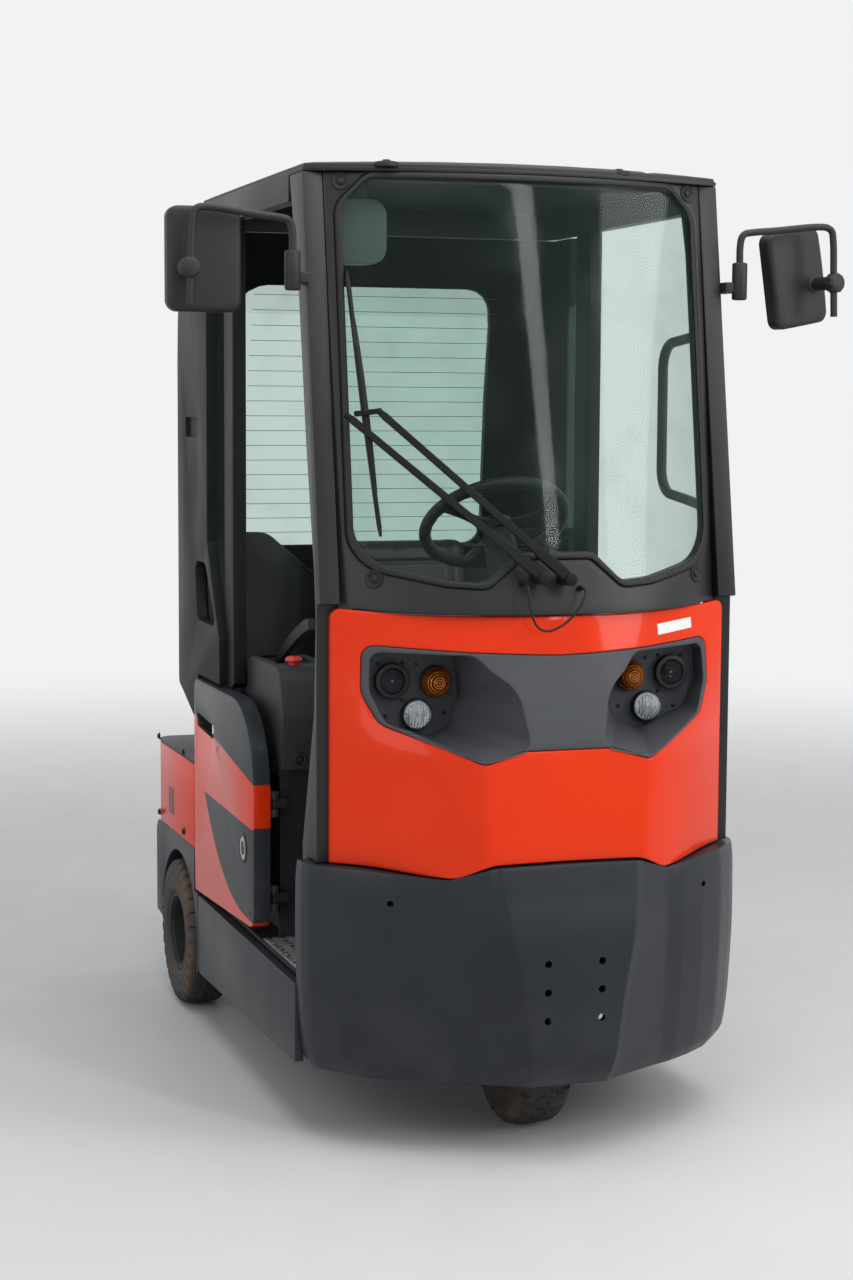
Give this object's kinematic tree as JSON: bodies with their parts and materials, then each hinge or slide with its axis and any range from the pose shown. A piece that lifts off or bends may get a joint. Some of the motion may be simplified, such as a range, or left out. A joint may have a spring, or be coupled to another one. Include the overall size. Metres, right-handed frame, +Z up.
{
  "type": "electric airport baggage tug",
  "caption": "Three-wheeled electric tow tractor with an open-sided cab, heavy front bumper, hinged battery covers and a stepped rear coupling.",
  "frame": {"origin": "on the ground under the middle of the vehicle's bounding box", "axes": "-Y is the front of the vehicle, +X its left side, +Z up"},
  "size_m": [1.54, 1.83, 2.092],
  "materials": {
    "frame_steel": "satin",
    "anthracite_paint": "satin",
    "orange_paint": "gloss",
    "black_paint": "satin",
    "dark_moulding": "matte",
    "black_moulding": "matte",
    "lamp_clear": "gloss",
    "lamp_amber": "gloss",
    "lamp_red": "gloss",
    "window_glass": "gloss",
    "seal_rubber": "matte",
    "tread_plate": "galvanised",
    "battery_steel": "satin",
    "red_button": "gloss",
    "seat_fabric": "woven",
    "deck_steel": "satin",
    "rim_paint": "satin",
    "tyre_rubber": "dusty"
  },
  "bodies": {
    "vehicle": {"chassis": "frame_steel", "front_bumper": "anthracite_paint", "front_cover": "orange_paint", "lamp_mask": "dark_moulding", "head_lamps": "lamp_clear", "turn_lamps": "lamp_amber", "windscreen_frame": "black_paint", "windscreen_seal": "seal_rubber", "windscreen": "window_glass", "front_pillars": "black_paint", "roof_frame": "black_paint", "roof_panel": "dark_moulding", "roof_housing": "dark_moulding", "rear_cab": "black_paint", "cab_windows": "window_glass", "door_posts": "black_paint", "step_floor": "tread_plate", "side_sills": "anthracite_paint", "seat_base": "anthracite_paint", "battery": "battery_steel", "side_consoles": "black_moulding", "stop_button": "red_button", "seat_cushion": "seat_fabric", "seat_back": "seat_fabric", "seat_surround": "black_moulding", "dash": "dark_moulding", "pedals": "black_moulding", "rear_body": "orange_paint", "rear_deck": "deck_steel", "fenders": "anthracite_paint", "tail_lamps": "lamp_red", "tow_coupling": "frame_steel", "mirrors": "black_moulding", "wiper": "black_moulding", "grab_handle": "black_paint", "washer_hose": "seal_rubber", "rear_axle": "frame_steel"},
    "fork": {"steer_fork": "frame_steel"},
    "front_wheel": {"front_rim": "rim_paint", "front_tyre": "tyre_rubber"},
    "rear_wheel_right": {"rear_rim_right": "rim_paint", "rear_tyre_right": "tyre_rubber"},
    "rear_wheel_left": {"rear_rim_left": "rim_paint", "rear_tyre_left": "tyre_rubber"},
    "hand_wheel": {"steering_wheel": "black_moulding"},
    "door_right": {"battery_door_right": "orange_paint"},
    "door_left": {"battery_door_left": "orange_paint"}
  },
  "joints": [
    {"name": "fork_steer", "type": "hinge", "parent": "vehicle", "child": "fork", "pos_m": [0, -0.6, 0.42], "axis": [0, 0, 1], "range_deg": [-75, 75]},
    {"name": "front_wheel_spin", "type": "hinge", "parent": "fork", "child": "front_wheel", "pos_m": [0, -0.6, 0.1905], "axis": [1, 0, 0], "continuous": true},
    {"name": "rear_right_spin", "type": "hinge", "parent": "vehicle", "child": "rear_wheel_right", "pos_m": [-0.459, 0.62, 0.1905], "axis": [1, 0, 0], "continuous": true},
    {"name": "rear_left_spin", "type": "hinge", "parent": "vehicle", "child": "rear_wheel_left", "pos_m": [0.459, 0.62, 0.1905], "axis": [1, 0, 0], "continuous": true},
    {"name": "hand_wheel_turn", "type": "hinge", "parent": "vehicle", "child": "hand_wheel", "pos_m": [0, -0.4, 1.31], "axis": [0, 0.6018, 0.7986], "range_deg": [-460, 460]},
    {"name": "door_right_swing", "type": "hinge", "parent": "vehicle", "child": "door_right", "pos_m": [-0.453, -0.183, 0.6], "axis": [0, 0, 1], "range_deg": [0, 90]},
    {"name": "door_left_swing", "type": "hinge", "parent": "vehicle", "child": "door_left", "pos_m": [0.453, -0.183, 0.6], "axis": [0, 0, -1], "range_deg": [0, 90]}
  ],
  "couplings": [
    {"joint": "hand_wheel_turn", "follows": "fork_steer", "ratio": 6}
  ]
}
